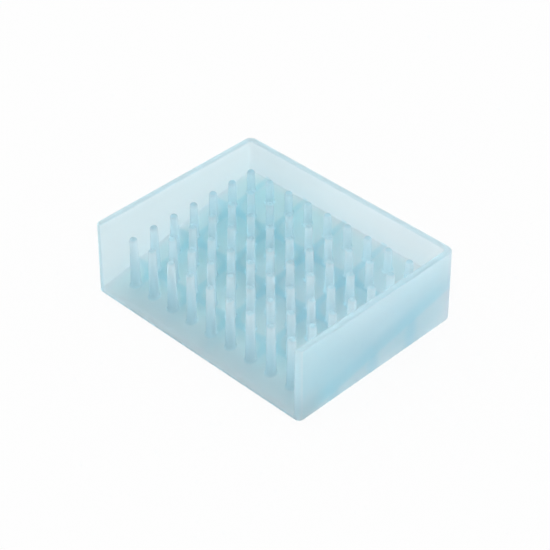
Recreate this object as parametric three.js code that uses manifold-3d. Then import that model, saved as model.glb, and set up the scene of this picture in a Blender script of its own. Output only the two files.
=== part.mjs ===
// Silicone soap dish. A wall stands round three sides of a ramped floor, which drains over its open long side.
// Pins with level tips hold the soap clear of the water, and a crate of ribs carries the floor from below.
// Millimetres, +Z up. X runs along the open side and Y from the open side to the back wall.
// The origin is the middle of the footprint, on the surface that the dish stands on.

import * as THREE from 'three';
import { mergeVertices } from 'three/addons/utils/BufferGeometryUtils.js';
import Module from 'manifold-3d';

// Overall size
const WIDTH = 103.5;
const DEPTH = 80;
const HEIGHT = 31;

// Wall round three sides
const WALL = 2.9; // at the foot
const WALL_DRAFT = THREE.MathUtils.degToRad(0.5); // the outside leans in towards the rim
const BACK_CORNER_RADIUS = 3.2; // outside, seen from above
const INNER_CORNER_RADIUS = 1; // inside, seen from above
const WALL_END_RADIUS = 1.8; // outer edge of the wall's two ends at the open side
const RIM_ROUND = 0.7; // along the rim and along the foot of the wall

// Ramped floor
const LIP_HEIGHT = 3; // top of the floor at the open edge
const RAMP_HEIGHT = 17.8; // top of the floor at the back wall
const FLOOR_THICKNESS = 2;
const LIP_FOOT = 3; // strip along the open edge that stands on the table
const LIP_ROUND = 1.4;

// Pins
const PIN_PITCH = 10;
const PIN_SIDE_MARGIN = 8; // least distance from a pin's axis to the side walls and the back wall
const PIN_FRONT_MARGIN = 8.4; // from the open edge to the axes of the first row
const PIN_TIP_HEIGHT = 26;
const PIN_TIP_RADIUS = 1.45;
const PIN_TIP_FLAT_RADIUS = 0.6;
const PIN_TIP_CROWN = 0.9; // height of the rounding at the tip
const PIN_DRAFT = THREE.MathUtils.degToRad(1.5);
const PIN_ROOT_FLARE = 0.8; // radius of the fillet between pin and floor
const PIN_SIDES = 10;

// Ribs under the floor
const RIB_THICKNESS = 1.8;

// Gap that is left where two pieces of the moulding meet
const SEAM = 0.3;

// Rounded edges are made of this many facets
const ROUND_STEPS = 4;

// Places that follow from the sizes above
const INNER_HALF_WIDTH = WIDTH / 2 - WALL;
const OPEN_EDGE = -DEPTH / 2;
const INNER_BACK = DEPTH / 2 - WALL;
const RAMP_SLOPE = (RAMP_HEIGHT - LIP_HEIGHT) / (INNER_BACK - OPEN_EDGE);
const floorTop = (y) => LIP_HEIGHT + RAMP_SLOPE * (y - OPEN_EDGE);
const floorUnderside = (y) => floorTop(y) - FLOOR_THICKNESS;

const PIN_COLUMNS = 1 + Math.floor((2 * (INNER_HALF_WIDTH - PIN_SIDE_MARGIN)) / PIN_PITCH);
const PIN_ROWS = 1 + Math.floor((INNER_BACK - PIN_SIDE_MARGIN - OPEN_EDGE - PIN_FRONT_MARGIN) / PIN_PITCH);
const columnX = (column) => (column - (PIN_COLUMNS - 1) / 2) * PIN_PITCH;
const rowY = (row) => OPEN_EDGE + PIN_FRONT_MARGIN + row * PIN_PITCH;
const everySecond = (first, count) => Array.from({ length: count }, (_, n) => n).filter((n) => n % 2 === first);
const LONG_RIB_X = everySecond(0, PIN_COLUMNS).map(columnX);
const CROSS_RIB_Y = everySecond(1, PIN_ROWS).map(rowY);
const RIB_FRONT = OPEN_EDGE + LIP_FOOT + SEAM;
const RIB_BACK = INNER_BACK - SEAM;

const wasm = await Module();
wasm.setup();

// A closed geometry as a solid that can be joined and cut
function solid(geometry) {
  const plain = geometry.clone();
  plain.deleteAttribute('normal');
  plain.deleteAttribute('uv');
  const merged = mergeVertices(plain, 1e-4);
  const vertProperties = new Float32Array(merged.attributes.position.array);
  const triVerts = new Uint32Array(merged.index.array);
  return new wasm.Manifold(new wasm.Mesh({ numProp: 3, vertProperties, triVerts }));
}

// A solid back as a geometry
function geometryOf(shape) {
  const { vertProperties, triVerts } = shape.getMesh();
  const geometry = new THREE.BufferGeometry();
  geometry.setAttribute('position', new THREE.BufferAttribute(vertProperties, 3));
  geometry.setIndex(new THREE.BufferAttribute(triVerts, 1));
  geometry.computeVertexNormals();
  return geometry;
}

function box(xRange, yRange, zRange) {
  const spans = [xRange, yRange, zRange].map(([low, high]) => high - low);
  const centre = [xRange, yRange, zRange].map(([low, high]) => (low + high) / 2);
  return new THREE.BoxGeometry(...spans).translate(...centre);
}

// A side profile, drawn with Y to the right and Z up, drawn out along X between two places
const ALONG_X = new THREE.Matrix4().makeBasis(
  new THREE.Vector3(0, 1, 0),
  new THREE.Vector3(0, 0, 1),
  new THREE.Vector3(1, 0, 0),
);
function drawnAlongX(profile, [low, high]) {
  const options = { depth: high - low, bevelEnabled: false, curveSegments: ROUND_STEPS };
  return new THREE.ExtrudeGeometry(profile, options).applyMatrix4(ALONG_X).translate(low, 0, 0);
}

// Draft of the wall: every point of its outside and of its two ends moves in, the more the higher it lies
function leanIn(geometry) {
  const { position } = geometry.attributes;
  for (let n = 0; n < position.count; n += 1) {
    const x = position.getX(n);
    const y = position.getY(n);
    const lean = position.getZ(n) * Math.tan(WALL_DRAFT);
    if (Math.abs(x) > INNER_HALF_WIDTH + WALL / 2) position.setX(n, x - Math.sign(x) * lean);
    if (y > INNER_BACK + WALL / 2) position.setY(n, y - lean);
    if (y < OPEN_EDGE + WALL_END_RADIUS) position.setY(n, y + lean);
  }
  return geometry;
}

// Wall: a U seen from above, drawn upwards with its rim and its foot rounded
function surroundWall() {
  const outerX = WIDTH / 2;
  const outerBack = DEPTH / 2;
  const outline = new THREE.Shape();
  outline.moveTo(-INNER_HALF_WIDTH, OPEN_EDGE);
  outline.lineTo(-INNER_HALF_WIDTH, INNER_BACK - INNER_CORNER_RADIUS);
  outline.absarc(
    -INNER_HALF_WIDTH + INNER_CORNER_RADIUS, INNER_BACK - INNER_CORNER_RADIUS,
    INNER_CORNER_RADIUS, Math.PI, Math.PI / 2, true,
  );
  outline.lineTo(INNER_HALF_WIDTH - INNER_CORNER_RADIUS, INNER_BACK);
  outline.absarc(
    INNER_HALF_WIDTH - INNER_CORNER_RADIUS, INNER_BACK - INNER_CORNER_RADIUS,
    INNER_CORNER_RADIUS, Math.PI / 2, 0, true,
  );
  outline.lineTo(INNER_HALF_WIDTH, OPEN_EDGE);
  outline.absarc(outerX - WALL_END_RADIUS, OPEN_EDGE + WALL_END_RADIUS, WALL_END_RADIUS, -Math.PI / 2, 0, false);
  outline.absarc(
    outerX - BACK_CORNER_RADIUS, outerBack - BACK_CORNER_RADIUS, BACK_CORNER_RADIUS, 0, Math.PI / 2, false,
  );
  outline.absarc(
    -outerX + BACK_CORNER_RADIUS, outerBack - BACK_CORNER_RADIUS, BACK_CORNER_RADIUS, Math.PI / 2, Math.PI, false,
  );
  outline.absarc(
    -outerX + WALL_END_RADIUS, OPEN_EDGE + WALL_END_RADIUS, WALL_END_RADIUS, Math.PI, 1.5 * Math.PI, false,
  );
  outline.closePath();
  const options = {
    depth: HEIGHT - 2 * RIM_ROUND,
    bevelEnabled: true,
    bevelThickness: RIM_ROUND,
    bevelSize: RIM_ROUND,
    bevelOffset: -RIM_ROUND,
    bevelSegments: 2,
    curveSegments: ROUND_STEPS,
  };
  return leanIn(new THREE.ExtrudeGeometry(outline, options).translate(0, 0, RIM_ROUND));
}

// Floor plate: a ramp whose front edge is a rounded lip that stands on the table
function floorPlate() {
  const back = INNER_BACK - SEAM;
  const lipInside = OPEN_EDGE + LIP_FOOT;
  const roundEnd = OPEN_EDGE + LIP_ROUND;
  const profile = new THREE.Shape();
  profile.moveTo(OPEN_EDGE, 0);
  profile.lineTo(lipInside, 0);
  profile.lineTo(lipInside, floorUnderside(lipInside));
  profile.lineTo(back, floorUnderside(back));
  profile.lineTo(back, floorTop(back));
  profile.lineTo(roundEnd, floorTop(roundEnd));
  profile.quadraticCurveTo(OPEN_EDGE, LIP_HEIGHT, OPEN_EDGE, LIP_HEIGHT - LIP_ROUND);
  profile.closePath();
  const halfWidth = INNER_HALF_WIDTH - SEAM;
  return drawnAlongX(profile, [-halfWidth, halfWidth]);
}

// Pin: a tapered finger with a crowned tip and a flared root, sunk into the floor that it grows from
function pin(x, y) {
  const root = floorTop(y);
  const length = PIN_TIP_HEIGHT - root;
  const shoulder = PIN_TIP_HEIGHT - PIN_TIP_CROWN;
  const radiusAt = (z) => PIN_TIP_RADIUS + (shoulder - z) * Math.tan(PIN_DRAFT);
  const flareRadius = radiusAt(root) + PIN_ROOT_FLARE;
  const sunk = root - FLOOR_THICKNESS / 2;
  const outline = new THREE.Path();
  outline.moveTo(0, sunk);
  outline.lineTo(flareRadius, sunk);
  outline.lineTo(flareRadius, root - flareRadius * RAMP_SLOPE);
  outline.lineTo(radiusAt(root) + PIN_ROOT_FLARE / 4, root + PIN_ROOT_FLARE / 4);
  outline.lineTo(radiusAt(root + PIN_ROOT_FLARE), root + PIN_ROOT_FLARE);
  outline.lineTo(PIN_TIP_RADIUS, root + length - PIN_TIP_CROWN);
  outline.lineTo((PIN_TIP_RADIUS + PIN_TIP_FLAT_RADIUS) / 2, PIN_TIP_HEIGHT - PIN_TIP_CROWN / 4);
  outline.lineTo(PIN_TIP_FLAT_RADIUS, PIN_TIP_HEIGHT);
  outline.lineTo(0, PIN_TIP_HEIGHT);
  return new THREE.LatheGeometry(outline.getPoints(), PIN_SIDES).rotateX(Math.PI / 2).translate(x, y, 0);
}

function pinFloor() {
  let shape = solid(floorPlate());
  for (let column = 0; column < PIN_COLUMNS; column += 1) {
    for (let row = 0; row < PIN_ROWS; row += 1) {
      shape = shape.add(solid(pin(columnX(column), rowY(row))));
    }
  }
  return geometryOf(shape);
}

// Rib: a stretch of the wedge between the table and the floor's underside
function wedge(xRange, [front, back]) {
  const profile = new THREE.Shape();
  profile.moveTo(front, 0);
  profile.lineTo(back, 0);
  profile.lineTo(back, floorUnderside(back) - SEAM);
  profile.lineTo(front, floorUnderside(front) - SEAM);
  profile.closePath();
  return solid(drawnAlongX(profile, xRange));
}

// Ribs cross by half laps: the long rib is notched from below and the cross rib from above
const around = (middle) => [middle - RIB_THICKNESS / 2, middle + RIB_THICKNESS / 2];
const notchAround = (middle) => [middle - RIB_THICKNESS / 2 - SEAM, middle + RIB_THICKNESS / 2 + SEAM];
const lapHeight = (y) => floorUnderside(y) / 2;

function longRib(x) {
  let rib = wedge(around(x), [RIB_FRONT, RIB_BACK]);
  for (const y of CROSS_RIB_Y) {
    const notch = box(notchAround(x), notchAround(y), [-HEIGHT, lapHeight(y) + SEAM / 2]);
    rib = rib.subtract(solid(notch));
  }
  return geometryOf(rib);
}

function crossRib(y) {
  const halfWidth = INNER_HALF_WIDTH - SEAM;
  let rib = wedge([-halfWidth, halfWidth], around(y));
  for (const x of LONG_RIB_X) {
    const notch = box(notchAround(x), notchAround(y), [lapHeight(y) - SEAM / 2, HEIGHT]);
    rib = rib.subtract(solid(notch));
  }
  return geometryOf(rib);
}

const silicone = (color) => new THREE.MeshStandardMaterial({ color, roughness: 0.45, metalness: 0 });

function piece(name, geometry, color) {
  const mesh = new THREE.Mesh(geometry, silicone(color));
  mesh.name = name;
  return mesh;
}

const soapDish = new THREE.Group();
soapDish.add(piece('surround_wall', surroundWall(), 0xd5e6ee));
soapDish.add(piece('pin_floor', pinFloor(), 0xa8d2dc));
LONG_RIB_X.forEach((x, n) => soapDish.add(piece(`long_rib_${n + 1}`, longRib(x), 0x93c2ce)));
CROSS_RIB_Y.forEach((y, n) => soapDish.add(piece(`cross_rib_${n + 1}`, crossRib(y), 0x93c2ce)));

export default soapDish;
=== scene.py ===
"""Looks of the silicone soap dish: one frosted, translucent pale blue moulding on a white table.

The real dish has no seams, so one mesh stands for all the solids of the frame. Its shape is a distance
field, in millimetres, that is negative inside the silicone. Places and sizes come from the frame's solids.
"""

import math

import bpy
import numpy as np
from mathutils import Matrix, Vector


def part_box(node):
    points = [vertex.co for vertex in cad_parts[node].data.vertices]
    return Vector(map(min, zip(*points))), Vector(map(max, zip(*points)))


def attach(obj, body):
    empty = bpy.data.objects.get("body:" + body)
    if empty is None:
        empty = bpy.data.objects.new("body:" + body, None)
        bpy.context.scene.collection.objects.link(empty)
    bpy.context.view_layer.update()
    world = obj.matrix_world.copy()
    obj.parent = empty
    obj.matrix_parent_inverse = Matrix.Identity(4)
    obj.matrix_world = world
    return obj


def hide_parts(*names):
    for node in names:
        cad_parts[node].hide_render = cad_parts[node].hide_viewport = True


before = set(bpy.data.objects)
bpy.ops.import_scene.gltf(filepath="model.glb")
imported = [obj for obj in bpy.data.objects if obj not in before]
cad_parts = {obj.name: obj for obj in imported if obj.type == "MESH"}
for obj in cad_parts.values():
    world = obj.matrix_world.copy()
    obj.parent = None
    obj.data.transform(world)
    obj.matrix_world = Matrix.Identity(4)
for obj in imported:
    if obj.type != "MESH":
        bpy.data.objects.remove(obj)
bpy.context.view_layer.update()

import openvdb as vdb
from mathutils import Matrix, Vector

MM = 0.001

# Sizes that the frame's boxes don't tell, in millimetres, and drafts
SEAM = 0.3
FLOOR_THICKNESS = 2.0
LIP_FOOT = 3.0
WALL_DRAFT = math.radians(0.5)
BACK_CORNER_RADIUS = 3.2
WALL_END_RADIUS = 2.2
INNER_CORNER_RADIUS = 1.2
FLOOR_FILLET = 0.4
RIM_ROUND = 0.6
FOOT_ROUND = 0.8
LIP_ROUND = 1.4
PIN_TIP_RADIUS = 1.45
PIN_TIP_ROUND = 1.2
PIN_DRAFT = math.radians(1.5)
PIN_ROOT_FLARE = 0.7
RIB_FILLET = 1.0
RIB_FOOT_ROUND = 0.3

# Mesh: spacing of the field's samples, room round the dish, and the faces left after thinning
SAMPLE_STEP = 0.42
MARGIN = 2.0
TRIANGLES = 150000
GRADIENT_STEP = 0.01
LEAST_STEEPNESS = 0.25
SURFACE_ROUNDS = 3

# Camera, as fitted to the photograph: angles, and lengths in millimetres
VIEW_AZIMUTH = math.radians(44.583)
VIEW_ELEVATION = math.radians(38.208)
VIEW_DISTANCE = 671.985
AIM_RIGHT = 0.571
AIM_UP = 10.461
SENSOR_WIDTH = 36.0
FOCAL_LENGTH = 119.54
NEAREST_SEEN = 10.0

# Frost: the share of light that the matte surface scatters all ways
FROST = 0.488
FROST_ON_FLOOR = 0.307
FROST_BELOW = 0.043
FROST_ON_SKIRT = 0.321
FROST_ON_PINS = 0.54
# Painted light: more frost, so lighter, towards the right and back on the pins, floor and back wall
FROST_LIT_FROM_RIGHT = 0.1
FROST_CLOUDS = 0.04
FROST_COLOUR = (0.985, 0.99, 0.998)

# Clear silicone, which the rest of the light passes through, with its colour at each place
SILICONE_IOR = 1.45
SILICONE_ROUGHNESS = 0.77
ROUGHNESS_BELOW = 0.647
ROUGHNESS_GRAIN = 0.04
ABSORPTION_COLOUR = (0.02, 0.205, 0.669)
ABSORPTION_DENSITY = 15.1
SILICONE_COLOUR = (0.765, 0.985, 0.997)
# Painted light: the wall's foot in front of the cells below the floor is lighter and less blue, standing
# for the lit cells behind it
SKIRT_LIGHT_COLOUR = (0.93, 0.985, 0.99)
FLOOR_COLOUR = (0.84, 0.988, 0.966)
# Painted light: the floor's colour towards the right and back is lighter
LIT_RIGHT_FLOOR_COLOUR = (0.98, 1.0, 1.0)
PIN_COLOUR = (0.755, 0.92, 0.94)
# Painted light: the pins' colour towards the right and back is lighter
LIT_RIGHT_PIN_COLOUR = (0.9, 1.0, 1.0)

# Tints, which multiply the colours
DEEP_TINT = (0.775, 0.928, 0.962)
# Painted shade: the foot of the open front greyer, as over the table's contact shadow
FRONT_FOOT_SHADE_TINT = (0.87, 0.85, 0.85)
# Painted shade: the front of the right wall darker
FRONT_WALL_SHADE_TINT = (0.85, 0.955, 0.975)
# Painted shade: the back wall darker towards its left end
BACK_WALL_SHADE_TINT = (0.972, 0.97, 0.973)
PIN_TIP_TINT = (0.9, 0.91, 0.92)
BACK_FLOOR_TINT = (0.91, 0.98, 0.95)
# Painted shade: the floor at the front foot greyer, as over the table's contact shadow
FRONT_FLOOR_SHADE_TINT = (0.91, 0.94, 0.99)

# Deep silicone looks bluer: how far that shows at each place
DEEP_AT_RIBS = 0.8
DEEP_AT_RIB_ENDS = 0.671
DEEP_AT_FLOOR_EDGE = 0.455
DEEP_AT_EDGES = 0.55
DEEP_AT_TIPS = 1.5
# Pins' roots: partly deep silicone, partly painted shade among the pins
DEEP_AND_SHADE_AT_PIN_ROOTS = 1.0
PIN_ROOT_FADE = 22.0

# Ribs that show through the floor: half width, soft edge, round corners of the cells, and shift in x and y
RIB_SHADE = 0.4
RIB_SHADE_FADE = 1.7
RIB_SHADE_CORNER = 8.0
RIB_SHADE_SHIFT = (0.6, -1.2)

# Ribs become tall enough to show between these places
RIBS_SHOW_Y = (-34.0, -26.0)

# Ribs' ends and floor's edge, which show through the wall: half width, soft edge, and slower fade upwards
RIB_END_SHADE = 0.5
RIB_END_FADE = 4.5
FLOOR_EDGE_SHADE = 0.3
FLOOR_EDGE_FADE = 3.7
SLOWER_ABOVE = 0.58

# Heights over the floor's underside between which ribs, rib ends and skirt fade out
RIBS_FADE_UP = (2.3, 3.3)
RIB_ENDS_FADE_UP = (-1.0, 3.3)
SKIRT_FADES_UP = (-2.0, 0.0)

# Places between which the other tints and colours fade in or out, among them the painted light towards the
# right and the painted shade on the back wall, the front of the right wall and the front foot
RIGHT_LIGHT_X = (-25.0, 18.0)
RIGHT_LIGHT_Y = (-26.0, 0.0)
BACK_FLOOR_Y = (22.0, 34.0)
BACK_WALL_X = (-45.0, 5.0)
BACK_WALL_Y = (36.0, 37.0)
FRONT_WALL_X = (-10.0, 10.0)
FRONT_WALL_Y = (-40.0, 0.0)
FRONT_FOOT_X = (-62.0, -22.0)
FRONT_FOOT_Y = (-36.0, -25.0)
FRONT_FOOT_Z = (4.0, 14.0)

# Tips of the pins: depths where their tint begins and is full, and its share beyond the left column
BELOW_TIP = (2.0, 0.6)
LEFT_TIPS_X = (-39.0, -31.0)
INNER_TIPS = 0.4

# Clouds in the frost and grain of the mould, as features per millimetre, and the grain's height in metres
CLOUD_SCALE = 0.07
GRAIN_SCALE = 2.2
GRAIN_HEIGHT = 0.00002
GRAIN_STRENGTH = 0.25

# Regions of the surface: distances over which they fade out, and how far a surface has to face one way
REGION_CORE = 0.2
REGION_FADE = 0.4
EDGE_REACH = 2.0
EDGE_FADE = 1.0
FACING = (0.3, 0.8)

# White table: reach in metres, colour, and how far it is plain white to the camera and through the silicone
TABLE_REACH = 4.0
TABLE_COLOUR = (0.837, 0.837, 0.837)
TABLE_PLAIN_TO_CAMERA = 0.92
TABLE_PLAIN_THROUGH = 0.38

# Even white light from all sides
WORLD_COLOUR = (1.0, 1.0, 1.0)
WORLD_STRENGTH = 1.04


def millimetres(node):
    """Lowest and highest corner of a solid of the frame."""
    low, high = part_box(node)
    return np.array(low) / MM, np.array(high) / MM


def nodes_named(start):
    return sorted(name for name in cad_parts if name.startswith(start))


# Places read from the frame
wall_low, wall_high = millimetres("surround_wall")
floor_low, floor_high = millimetres("pin_floor")
long_ribs = [millimetres(name) for name in nodes_named("long_rib_")]
cross_ribs = [millimetres(name) for name in nodes_named("cross_rib_")]

HALF_WIDTH = wall_high[0]
HALF_DEPTH = wall_high[1]
HEIGHT = wall_high[2]
OPEN_EDGE = floor_low[1]
INNER_HALF_WIDTH = floor_high[0] + SEAM
INNER_BACK = floor_high[1] + SEAM
PIN_TIP_HEIGHT = floor_high[2]

RIB_X = [(low[0] + high[0]) / 2 for low, high in long_ribs]
RIB_Y = [(low[1] + high[1]) / 2 for low, high in cross_ribs]
RIB_THICKNESS = long_ribs[0][1][0] - long_ribs[0][0][0]
RIB_PITCH = RIB_X[1] - RIB_X[0]

# Pins stand over the ribs and half way between them
PIN_PITCH = RIB_PITCH / 2
FIRST_PIN_X = RIB_X[0]
FIRST_PIN_Y = RIB_Y[0] - PIN_PITCH
PIN_COLUMNS = 2 * len(RIB_X) - 1
PIN_ROWS = 2 * len(RIB_Y) + 1

# The tops of the cross ribs follow the ramp, a seam below it
RAMP_SLOPE = (cross_ribs[-1][1][2] - cross_ribs[0][1][2]) / (RIB_Y[-1] - RIB_Y[0])
RAMP_COSINE = math.cos(math.atan(RAMP_SLOPE))
UNDERSIDE_AT_FIRST_RIB = cross_ribs[0][1][2] + SEAM


def floor_underside(y):
    return UNDERSIDE_AT_FIRST_RIB + RAMP_SLOPE * (y - cross_ribs[0][1][1])


def floor_top(y):
    return floor_underside(y) + FLOOR_THICKNESS


def round_both(a, b, radius):
    """Field of what lies inside both fields, with the edge between them rounded."""
    over_a = np.maximum(a + radius, 0)
    over_b = np.maximum(b + radius, 0)
    return np.minimum(np.maximum(a, b), -radius) + np.hypot(over_a, over_b)


def round_either(a, b, radius):
    """Field of what lies inside one field or the other, with a fillet where they meet."""
    return -round_both(-a, -b, radius)


def nearest_of_row(value, first, pitch, count):
    """The place in an evenly spaced row that lies nearest to each value."""
    return first + pitch * np.clip(np.round((value - first) / pitch), 0, count - 1)


def outer_block(x, y, z):
    lean = z * math.tan(WALL_DRAFT)
    radius = np.where(y > 0, BACK_CORNER_RADIUS, WALL_END_RADIUS)
    over_x = np.abs(x) - (HALF_WIDTH - lean - radius)
    over_y = np.abs(y) - (HALF_DEPTH - lean - radius)
    corner = np.hypot(np.maximum(over_x, 0), np.maximum(over_y, 0))
    outline = corner + np.minimum(np.maximum(over_x, over_y), 0) - radius
    upright = np.abs(z - HEIGHT / 2) - HEIGHT / 2
    edge = np.where(z > HEIGHT / 2, RIM_ROUND, FOOT_ROUND)
    return round_both(outline, upright, edge)


def soap_space(x, y, z):
    """The open space over the floor, which runs out over the open side and the rim."""
    sides = round_both(np.abs(x) - INNER_HALF_WIDTH, y - INNER_BACK, INNER_CORNER_RADIUS)
    return round_both(sides, (floor_top(y) - z) * RAMP_COSINE, FLOOR_FILLET)


def underside_cells(x, y, z):
    """The open cells between the ribs, below the floor."""
    from_long_rib = np.abs(x - nearest_of_row(x, RIB_X[0], RIB_PITCH, len(RIB_X)))
    from_cross_rib = np.abs(y - nearest_of_row(y, RIB_Y[0], RIB_PITCH, len(RIB_Y)))
    across = np.maximum(np.abs(x) - INNER_HALF_WIDTH, RIB_THICKNESS / 2 - from_long_rib)
    ends = np.maximum(y - INNER_BACK, OPEN_EDGE + LIP_FOOT - y)
    along = np.maximum(ends, RIB_THICKNESS / 2 - from_cross_rib)
    sides = round_both(across, along, RIB_FILLET)
    return round_both(sides, (z - floor_underside(y)) * RAMP_COSINE, RIB_FILLET)


def pins(x, y, z):
    """Tapered pins with round, level tips, which reach down to the middle of the floor."""
    pin_x = nearest_of_row(x, FIRST_PIN_X, PIN_PITCH, PIN_COLUMNS)
    pin_y = nearest_of_row(y, FIRST_PIN_Y, PIN_PITCH, PIN_ROWS)
    radius = PIN_TIP_RADIUS + (PIN_TIP_HEIGHT - PIN_TIP_ROUND - z) * math.tan(PIN_DRAFT)
    side = (np.hypot(x - pin_x, y - pin_y) - radius) * math.cos(PIN_DRAFT)
    tipped = round_both(side, z - PIN_TIP_HEIGHT, PIN_TIP_ROUND)
    return np.maximum(tipped, floor_top(y) - FLOOR_THICKNESS / 2 - z)


def moulding(x, y, z):
    """Distance to the surface of the dish, negative inside the silicone."""
    lip = np.clip((floor_top(y) + LIP_ROUND - z) / LIP_ROUND, 0, 1)
    edge = RIM_ROUND + (LIP_ROUND - RIM_ROUND) * lip
    shell = round_both(outer_block(x, y, z), -soap_space(x, y, z), edge)
    shell = round_both(shell, -underside_cells(x, y, z), RIB_FOOT_ROUND)
    return round_either(shell, pins(x, y, z), PIN_ROOT_FLARE)


def gradient(points):
    """Direction in which the field rises fastest at each point."""
    slopes = []
    for axis in range(3):
        shift = np.zeros(3)
        shift[axis] = GRADIENT_STEP
        rise = moulding(*(points + shift).T) - moulding(*(points - shift).T)
        slopes.append(rise / (2 * GRADIENT_STEP))
    return np.stack(slopes, axis=1)


def onto_surface(points):
    """The points, moved along the field onto the surface of the dish."""
    for _ in range(SURFACE_ROUNDS):
        slope = gradient(points)
        steepness = np.maximum((slope**2).sum(axis=1), LEAST_STEEPNESS)
        points = points - slope * (moulding(*points.T) / steepness)[:, None]
    return points


def sampled_mesh():
    """Even, fine mesh of the field's surface, in millimetres."""
    step = SAMPLE_STEP
    low = np.array([-HALF_WIDTH, -HALF_DEPTH, 0.0]) - MARGIN
    high = np.array([HALF_WIDTH, HALF_DEPTH, HEIGHT]) + MARGIN
    axes = [np.arange(a, b, step) for a, b in zip(low, high)]
    x, y = np.meshgrid(axes[0], axes[1], indexing="ij")
    layers = [moulding(x, y, np.full_like(x, z)) for z in axes[2]]
    grid = vdb.FloatGrid()
    grid.copyFromArray(np.stack(layers, axis=2).astype(np.float32))
    points, triangles, quads = grid.convertToPolygons(isovalue=0.0, adaptivity=0.0)
    mesh = bpy.data.meshes.new("even_mesh")
    points = onto_surface(points.astype(float) * step + low)
    mesh.from_pydata(points.tolist(), [], quads.tolist() + triangles.tolist())
    return mesh


def thinned(mesh):
    """The mesh with fewer faces, which stay dense only where it curves."""
    carrier = bpy.data.objects.new("even_mesh", mesh)
    bpy.context.scene.collection.objects.link(carrier)
    collapse = carrier.modifiers.new("collapse", "DECIMATE")
    collapse.ratio = TRIANGLES / sum(len(face.vertices) - 2 for face in mesh.polygons)
    evaluated = carrier.evaluated_get(bpy.context.evaluated_depsgraph_get())
    result = bpy.data.meshes.new_from_object(evaluated)
    bpy.data.objects.remove(carrier)
    bpy.data.meshes.remove(mesh)
    return result


def region(distance):
    """How far points belong to a region of the surface, from their distance to it."""
    return np.clip((REGION_CORE + REGION_FADE - np.abs(distance)) / REGION_FADE, 0, 1)


def below_floor(x, y, z):
    return region(underside_cells(x, y, z))


def over_floor(x, y):
    return (np.abs(x) < INNER_HALF_WIDTH - REGION_CORE) & (y < INNER_BACK - REGION_CORE)


def on_floor(x, y, z):
    return region((floor_top(y) - z) * RAMP_COSINE) * over_floor(x, y) * (1 - below_floor(x, y, z))


def on_pins(x, y, z):
    return region(pins(x, y, z)) * (z > floor_top(y) + REGION_CORE)


def facing(component):
    """How far a surface faces one way, from that component of its normal."""
    return np.clip((component - FACING[0]) / (FACING[1] - FACING[0]), 0, 1)


def wall_ends(points, normals):
    x, y, z = points.T
    ends = (np.abs(x) > INNER_HALF_WIDTH) & (y < 0)
    return facing(-normals[:, 1]) * ends * (1 - below_floor(x, y, z))


def on_edges(points, normals):
    """The rim, the wall's ends and the pins' tips and roots, which have a lot of silicone behind them, with
    painted shade among the pins at the roots.
    """
    x, y, z = points.T
    rim = np.clip((z - HEIGHT + EDGE_REACH) / EDGE_FADE, 0, 1)
    tips = np.clip((z - PIN_TIP_HEIGHT + EDGE_REACH) / EDGE_FADE, 0, 1) * over_floor(x, y)
    level = facing(normals[:, 2]) * np.maximum(rim, DEEP_AT_TIPS * tips)
    above = z - floor_top(y)
    roots = np.clip(1 - above / PIN_ROOT_FADE, 0, 1) * region(pins(x, y, z)) * (above > 0)
    return np.maximum(np.maximum(level, DEEP_AND_SHADE_AT_PIN_ROOTS * roots), wall_ends(points, normals))


def on_outside(points, normals):
    """The outer faces of the wall."""
    x, y, z = points.T
    upright = (np.abs(normals[:, 2]) < FACING[0]) & (normals[:, 1] > -FACING[0])
    outer = (np.abs(x) > INNER_HALF_WIDTH + REGION_CORE) | (y > INNER_BACK + REGION_CORE)
    return region(outer_block(x, y, z)) * upright * outer * (1 - below_floor(x, y, z))


def moulding_mesh():
    mesh = thinned(sampled_mesh())
    points = np.empty(3 * len(mesh.vertices))
    mesh.vertices.foreach_get("co", points)
    points = onto_surface(points.reshape(-1, 3))
    mesh.vertices.foreach_set("co", (points * MM).ravel())
    mesh.name = "silicone_moulding"
    mesh.shade_smooth()
    slope = gradient(points)
    normals = slope / np.linalg.norm(slope, axis=1)[:, None]
    mesh.normals_split_custom_set_from_vertices(normals.tolist())
    regions = {
        "below": below_floor(*points.T),
        "floor": on_floor(*points.T),
        "edge": on_edges(points, normals),
        "outside": on_outside(points, normals),
        "pins": on_pins(*points.T),
    }
    for name, values in regions.items():
        attribute = mesh.attributes.new(name, "FLOAT", "POINT")
        attribute.data.foreach_set("value", values.astype(np.float32))
    return mesh


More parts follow.
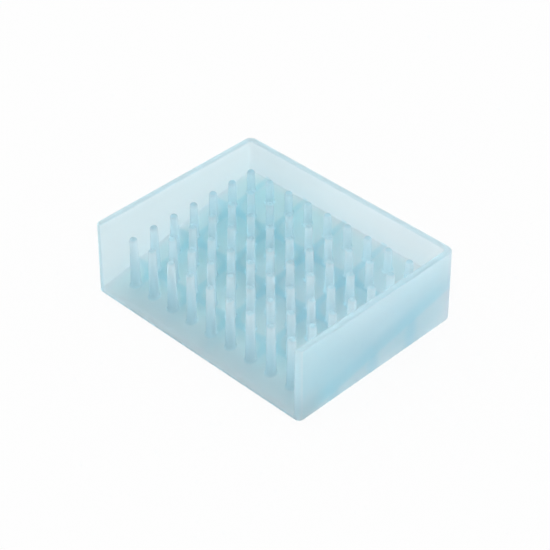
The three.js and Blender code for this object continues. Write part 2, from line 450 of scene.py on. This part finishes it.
class Nodes:
    """Short ways to add and join the nodes of a new material."""

    def __init__(self, name):
        self.material = bpy.data.materials.new(name)
        self.material.use_nodes = True
        self.tree = self.material.node_tree
        self.tree.nodes.clear()

    def add(self, kind):
        return self.tree.nodes.new("ShaderNode" + kind)

    def put(self, value, socket):
        """Sets a socket to a number or colour, or joins another node's output to it."""
        if isinstance(value, bpy.types.NodeSocket):
            self.tree.links.new(value, socket)
        elif isinstance(value, tuple):
            socket.default_value = (*value, 1)
        else:
            socket.default_value = value

    def math(self, operation, *values):
        node = self.add("Math")
        node.operation = operation
        for value, socket in zip(values, node.inputs):
            self.put(value, socket)
        return node.outputs["Value"]

    def product(self, first, *others):
        for other in others:
            first = self.math("MULTIPLY", first, other)
        return first

    def largest(self, first, *others):
        for other in others:
            first = self.math("MAXIMUM", first, other)
        return first

    def rest(self, share):
        """What a share leaves of the whole."""
        return self.math("SUBTRACT", 1, share)

    def fade(self, value, ends, low=0, high=1):
        """A smooth change from low at the first end to high at the second."""
        node = self.add("MapRange")
        node.interpolation_type = "SMOOTHSTEP"
        names = ("Value", "From Min", "From Max", "To Min", "To Max")
        for name, item in zip(names, (value, *ends, low, high)):
            self.put(item, node.inputs[name])
        return node.outputs["Result"]

    def fade_out(self, value, ends, high=1):
        return self.fade(value, ends, high, 0)

    def attribute(self, name):
        node = self.add("Attribute")
        node.attribute_name = name
        return node.outputs["Fac"]

    def noise(self, place, scale):
        node = self.add("TexNoise")
        self.put(scale, node.inputs["Scale"])
        self.put(place, node.inputs["Vector"])
        return node.outputs["Fac"]

    def mix(self, kind, share, first, second):
        """Two colours, mixed in the kind's way, more and more as the share rises to 1."""
        node = self.add("Mix")
        node.data_type = "RGBA"
        node.blend_type = kind
        self.put(share, node.inputs["Factor"])
        self.put(first, node.inputs["A"])
        self.put(second, node.inputs["B"])
        return node.outputs["Result"]

    def tinted(self, colour, tints):
        for share, tint in tints:
            colour = self.mix("MULTIPLY", share, colour, tint)
        return colour

    def mix_shaders(self, share, first, second):
        node = self.add("MixShader")
        self.put(share, node.inputs["Fac"])
        self.put(first, node.inputs[1])
        self.put(second, node.inputs[2])
        return node.outputs["Shader"]

    def finish(self, **parts):
        output = self.add("OutputMaterial")
        for name, socket in parts.items():
            self.put(socket, output.inputs[name])
        return self.material


class Places:
    """Outputs of nodes that tell where a point of the silicone lies, in millimetres or as a share."""

    def __init__(self, nodes):
        self.nodes = nodes
        scaled = nodes.add("VectorMath")
        scaled.operation = "SCALE"
        nodes.put(nodes.add("TexCoord").outputs["Object"], scaled.inputs["Vector"])
        nodes.put(1 / MM, scaled.inputs["Scale"])
        self.point = scaled.outputs["Vector"]
        axes = nodes.add("SeparateXYZ")
        nodes.put(self.point, axes.inputs["Vector"])
        self.x, self.y, self.z = axes.outputs
        along_ramp = nodes.math("MULTIPLY_ADD", self.y, -RAMP_SLOPE, self.z)
        self.over_ramp = nodes.math("SUBTRACT", along_ramp, floor_underside(0))
        self.to_long_rib = self.to_nearest(self.x, RIB_X, RIB_SHADE_SHIFT[0])
        self.to_cross_rib = self.to_nearest(self.y, RIB_Y, RIB_SHADE_SHIFT[1])
        self.ribs_show = nodes.fade(self.y, RIBS_SHOW_Y)

        self.below = nodes.attribute("below")
        self.floor = nodes.attribute("floor")
        self.pins = nodes.attribute("pins")
        self.outside = nodes.attribute("outside")
        edges = nodes.product(nodes.attribute("edge"), DEEP_AT_EDGES)
        self.deep = nodes.largest(self.through_floor(), self.through_wall(), edges)

        # Painted light on the wall's foot in front of the lit cells
        self.skirt = nodes.product(nodes.fade_out(self.over_ramp, SKIRT_FADES_UP), self.outside)
        # Painted light towards the right and back
        self.lit_from_right = nodes.product(nodes.fade(self.x, RIGHT_LIGHT_X), nodes.fade(self.y, RIGHT_LIGHT_Y))
        self.back_floor = nodes.fade(self.y, BACK_FLOOR_Y)
        self.behind = nodes.fade(self.y, BACK_WALL_Y)
        # Painted shade on the back wall towards its left end
        self.back_wall_shade = nodes.product(self.behind, nodes.fade_out(self.x, BACK_WALL_X))
        # Painted shade at the front foot and on the front of the right wall
        self.front_foot_shade = self.at_front_foot()
        self.front_wall_shade = self.at_front_wall()
        self.tips = self.at_tips()

    def to_nearest(self, value, row, shift):
        """Distance to the nearest rib of an evenly spaced row, which shows a little beside its place."""
        half = RIB_PITCH / 2
        kept = self.nodes.math("MAXIMUM", value, row[0] - half)
        kept = self.nodes.math("MINIMUM", kept, row[-1] + half)
        along = self.nodes.math("SUBTRACT", kept, row[0] + shift)
        return self.nodes.math("PINGPONG", along, half)

    def through_floor(self):
        """Ribs that show through the floor."""
        nodes = self.nodes
        to_rib = nodes.math("SMOOTH_MIN", self.to_long_rib, self.to_cross_rib, RIB_SHADE_CORNER)
        ribs = nodes.fade_out(to_rib, (RIB_SHADE, RIB_SHADE + RIB_SHADE_FADE), DEEP_AT_RIBS)
        low = nodes.fade_out(self.over_ramp, RIBS_FADE_UP)
        return nodes.product(ribs, low, nodes.rest(self.outside), self.ribs_show)

    def through_wall(self):
        """Ends of the ribs and edge of the floor, which show through the wall."""
        nodes = self.nodes
        to_end = nodes.math("MINIMUM", self.to_long_rib, self.to_cross_rib)
        rib_ends = nodes.fade_out(to_end, (RIB_END_SHADE, RIB_END_SHADE + RIB_END_FADE), DEEP_AT_RIB_ENDS)
        rib_ends = nodes.product(rib_ends, nodes.fade_out(self.over_ramp, RIB_ENDS_FADE_UP), self.ribs_show)

        above = nodes.math("SUBTRACT", self.over_ramp, FLOOR_THICKNESS / 2)
        to_floor = nodes.largest(nodes.product(above, SLOWER_ABOVE), nodes.product(above, -1))
        ends = (FLOOR_EDGE_SHADE, FLOOR_EDGE_SHADE + FLOOR_EDGE_FADE)
        floor_edge = nodes.fade_out(to_floor, ends, DEEP_AT_FLOOR_EDGE)
        return nodes.product(nodes.largest(rib_ends, floor_edge), self.outside)

    def at_front_foot(self):
        """Painted shade of the table's contact on the foot of the open front, which fades out towards its
        left end.
        """
        nodes = self.nodes
        front = nodes.fade_out(self.y, FRONT_FOOT_Y)
        low = nodes.fade_out(self.z, FRONT_FOOT_Z)
        return nodes.product(front, low, nodes.rest(self.below), nodes.fade(self.x, FRONT_FOOT_X))

    def at_front_wall(self):
        """Painted shade on the front of the right wall, apart from its foot."""
        nodes = self.nodes
        front = nodes.product(nodes.fade_out(self.y, FRONT_WALL_Y), self.outside)
        return nodes.product(front, nodes.rest(self.front_foot_shade), nodes.fade(self.x, FRONT_WALL_X))

    def at_tips(self):
        """Tips of the pins, most of all in the left column."""
        nodes = self.nodes
        high = nodes.fade(self.z, (PIN_TIP_HEIGHT - BELOW_TIP[0], PIN_TIP_HEIGHT - BELOW_TIP[1]))
        return nodes.product(high, self.pins, nodes.fade(self.x, LEFT_TIPS_X, 1, INNER_TIPS))


def clear_colour(nodes, at):
    """Colour of the clear silicone, before the tints that it shares with the frost, with painted light on
    the skirt and towards the right, and painted shade on the floor at the front foot.
    """
    floor = nodes.mix("MIX", at.lit_from_right, FLOOR_COLOUR, LIT_RIGHT_FLOOR_COLOUR)
    floor = nodes.tinted(floor, [(at.back_floor, BACK_FLOOR_TINT), (at.front_foot_shade, FRONT_FLOOR_SHADE_TINT)])
    pins = nodes.mix("MIX", at.lit_from_right, PIN_COLOUR, LIT_RIGHT_PIN_COLOUR)
    colour = nodes.mix("MIX", at.skirt, SILICONE_COLOUR, SKIRT_LIGHT_COLOUR)
    colour = nodes.mix("MIX", at.floor, colour, floor)
    return nodes.mix("MIX", at.pins, colour, pins)


def frost_share(nodes, at):
    clouds = nodes.noise(at.point, CLOUD_SCALE)
    frost = nodes.fade(clouds, (0, 1), FROST - FROST_CLOUDS, FROST + FROST_CLOUDS)
    # Painted light: more frost towards the right and back
    painted_light = nodes.product(at.lit_from_right, nodes.largest(at.pins, at.floor, at.behind))
    changes = (
        (at.below, FROST_BELOW - FROST),
        (at.floor, FROST_ON_FLOOR - FROST),
        (at.skirt, FROST_ON_SKIRT - FROST),
        (at.pins, FROST_ON_PINS - FROST),
        (painted_light, FROST_LIT_FROM_RIGHT),
    )
    for share, change in changes:
        frost = nodes.math("MULTIPLY_ADD", share, change, frost)
    return frost


def silicone():
    """Clear silicone whose matte surface scatters part of the light, less so on the floor and below it."""
    nodes = Nodes("frosted_silicone")
    at = Places(nodes)
    # The front foot, front wall and back wall tints are painted shade, and the deep tint is partly painted
    # shade at the pins' roots
    tints = (
        (at.deep, DEEP_TINT),
        (at.front_foot_shade, FRONT_FOOT_SHADE_TINT),
        (at.front_wall_shade, FRONT_WALL_SHADE_TINT),
        (at.back_wall_shade, BACK_WALL_SHADE_TINT),
        (at.tips, PIN_TIP_TINT),
    )
    grain = nodes.noise(at.point, GRAIN_SCALE)
    bump = nodes.add("Bump")
    nodes.put(GRAIN_STRENGTH, bump.inputs["Strength"])
    nodes.put(GRAIN_HEIGHT, bump.inputs["Distance"])
    nodes.put(grain, bump.inputs["Height"])

    clear = nodes.add("BsdfPrincipled")
    nodes.put(1, clear.inputs["Transmission Weight"])
    nodes.put(SILICONE_IOR, clear.inputs["IOR"])
    nodes.put(nodes.tinted(clear_colour(nodes, at), tints), clear.inputs["Base Color"])
    roughness = nodes.fade(at.below, (0, 1), SILICONE_ROUGHNESS, ROUGHNESS_BELOW)
    grain_part = nodes.fade(grain, (0, 1), -ROUGHNESS_GRAIN, ROUGHNESS_GRAIN)
    nodes.put(nodes.math("ADD", roughness, grain_part), clear.inputs["Roughness"])
    nodes.put(bump.outputs["Normal"], clear.inputs["Normal"])

    frosted = nodes.add("BsdfTranslucent")
    nodes.put(nodes.tinted(FROST_COLOUR, tints), frosted.inputs["Color"])
    nodes.put(bump.outputs["Normal"], frosted.inputs["Normal"])

    absorption = nodes.add("VolumeAbsorption")
    nodes.put(ABSORPTION_COLOUR, absorption.inputs["Color"])
    nodes.put(ABSORPTION_DENSITY, absorption.inputs["Density"])
    surface = nodes.mix_shaders(frost_share(nodes, at), clear.outputs["BSDF"], frosted.outputs["BSDF"])
    return nodes.finish(Surface=surface, Volume=absorption.outputs["Volume"])


def table_material():
    """White table: mostly plain white to the camera, less so to the silicone, and shaded in the rest."""
    nodes = Nodes("white_table")
    rays = nodes.add("LightPath").outputs
    to_camera = nodes.product(rays["Is Camera Ray"], TABLE_PLAIN_TO_CAMERA)
    to_silicone = nodes.largest(rays["Is Glossy Ray"], rays["Is Transmission Ray"])
    to_silicone = nodes.product(to_silicone, TABLE_PLAIN_THROUGH)
    lit = nodes.add("BsdfDiffuse")
    nodes.put(TABLE_COLOUR, lit.inputs["Color"])
    plain = nodes.add("Emission")
    share = nodes.largest(to_camera, to_silicone)
    return nodes.finish(Surface=nodes.mix_shaders(share, lit.outputs["BSDF"], plain.outputs["Emission"]))


def table():
    mesh = bpy.data.meshes.new("table")
    corners = [(-1, -1), (1, -1), (1, 1), (-1, 1)]
    corners = [(x * TABLE_REACH, y * TABLE_REACH, 0) for x, y in corners]
    mesh.from_pydata(corners, [], [(0, 1, 2, 3)])
    mesh.materials.append(table_material())
    surface = bpy.data.objects.new("table", mesh)
    bpy.context.scene.collection.objects.link(surface)


def studio():
    world = bpy.data.worlds.new("studio")
    world.use_nodes = True
    background = world.node_tree.nodes["Background"]
    background.inputs["Color"].default_value = (*WORLD_COLOUR, 1)
    background.inputs["Strength"].default_value = WORLD_STRENGTH
    bpy.context.scene.world = world
    bpy.context.scene.view_settings.view_transform = "Standard"


def camera():
    back = Vector(
        (
            math.sin(VIEW_AZIMUTH) * math.cos(VIEW_ELEVATION),
            -math.cos(VIEW_AZIMUTH) * math.cos(VIEW_ELEVATION),
            math.sin(VIEW_ELEVATION),
        )
    )
    right = Vector((math.cos(VIEW_AZIMUTH), math.sin(VIEW_AZIMUTH), 0))
    up = back.cross(right)
    data = bpy.data.cameras.new("camera")
    data.sensor_width = SENSOR_WIDTH
    data.lens = FOCAL_LENGTH
    data.clip_start = NEAREST_SEEN * MM
    eye = bpy.data.objects.new("camera", data)
    turn = Matrix((right, up, back)).transposed().to_4x4()
    place = (AIM_RIGHT * right + AIM_UP * up + VIEW_DISTANCE * back) * MM
    eye.matrix_world = Matrix.Translation(place) @ turn
    bpy.context.scene.collection.objects.link(eye)
    bpy.context.scene.camera = eye


camera()
studio()
table()

dish = bpy.data.objects.new("silicone_moulding", moulding_mesh())
bpy.context.scene.collection.objects.link(dish)
dish.data.materials.append(silicone())
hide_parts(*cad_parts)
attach(dish, "root")
